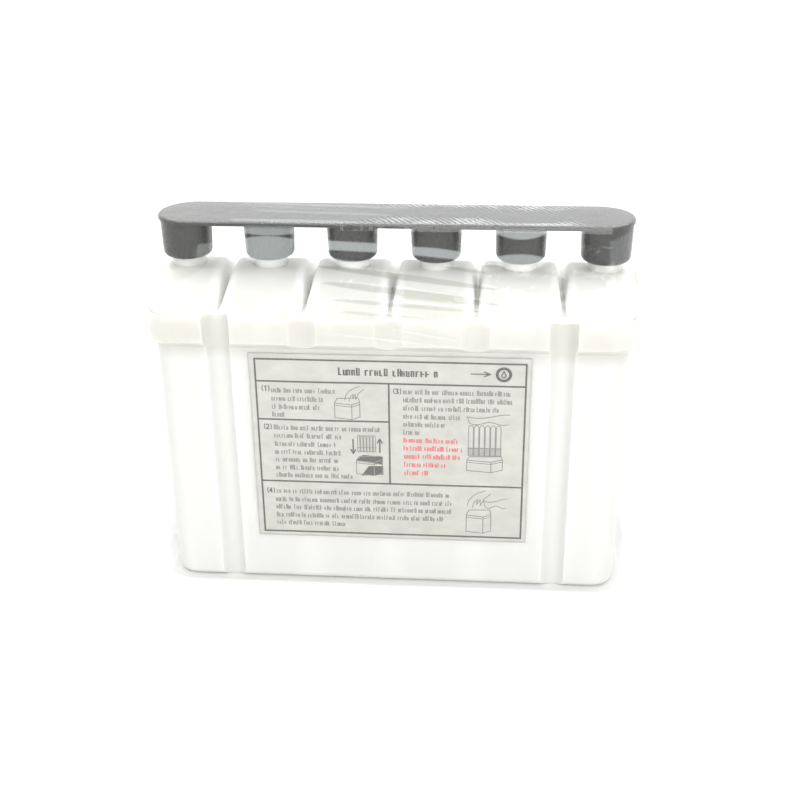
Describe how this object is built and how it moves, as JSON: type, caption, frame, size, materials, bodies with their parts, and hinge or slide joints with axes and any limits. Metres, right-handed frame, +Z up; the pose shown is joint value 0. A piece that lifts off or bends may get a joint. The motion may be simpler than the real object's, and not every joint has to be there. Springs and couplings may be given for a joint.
{
  "type": "battery acid filling pack",
  "caption": "Shrink-wrapped multi-cell acid bottle with a lift-off strip of hollow sealing plugs, used to fill a dry-charged motorcycle battery.",
  "frame": {"origin": "centre of the flat base of the bottle, on the surface it stands on", "axes": "+X along the row of six cells, -Y out of the face that carries the label, +Z up through the necks"},
  "size_m": [0.1382, 0.052, 0.1086],
  "materials": {
    "bottle_plastic": "natural translucent polyethylene, satin blow-moulded skin",
    "strip_plastic": "moulded dark grey polypropylene, low sheen",
    "label_paper": "uncoated printed sheet",
    "clear_film": "clear glossy shrink film",
    "foil": "thin heat-sealed foil, satin",
    "acid": null,
    "valve_rubber": "moulded black rubber"
  },
  "bodies": {
    "bottle": {"acid_bottle": "bottle_plastic", "instruction_label": "label_paper", "foil_seal_1": "foil", "foil_seal_2": "foil", "foil_seal_3": "foil", "foil_seal_4": "foil", "foil_seal_5": "foil", "foil_seal_6": "foil", "electrolyte_1": "acid", "electrolyte_2": "acid", "electrolyte_3": "acid", "electrolyte_4": "acid", "electrolyte_5": "acid", "electrolyte_6": "acid"},
    "strip": {"plug_strip": "strip_plastic", "relief_valve_1": "valve_rubber", "relief_valve_2": "valve_rubber", "relief_valve_3": "valve_rubber", "relief_valve_4": "valve_rubber", "relief_valve_5": "valve_rubber", "relief_valve_6": "valve_rubber"},
    "film": {"shrink_film": "clear_film"}
  },
  "joints": [
    {"name": "strip_lift", "type": "slide", "parent": "bottle", "child": "strip", "axis": [0, 0, 1], "range_m": [0, 0.04]},
    {"name": "film_off", "type": "slide", "parent": "strip", "child": "film", "axis": [0, 0, 1], "range_m": [0, 0.13]}
  ]
}
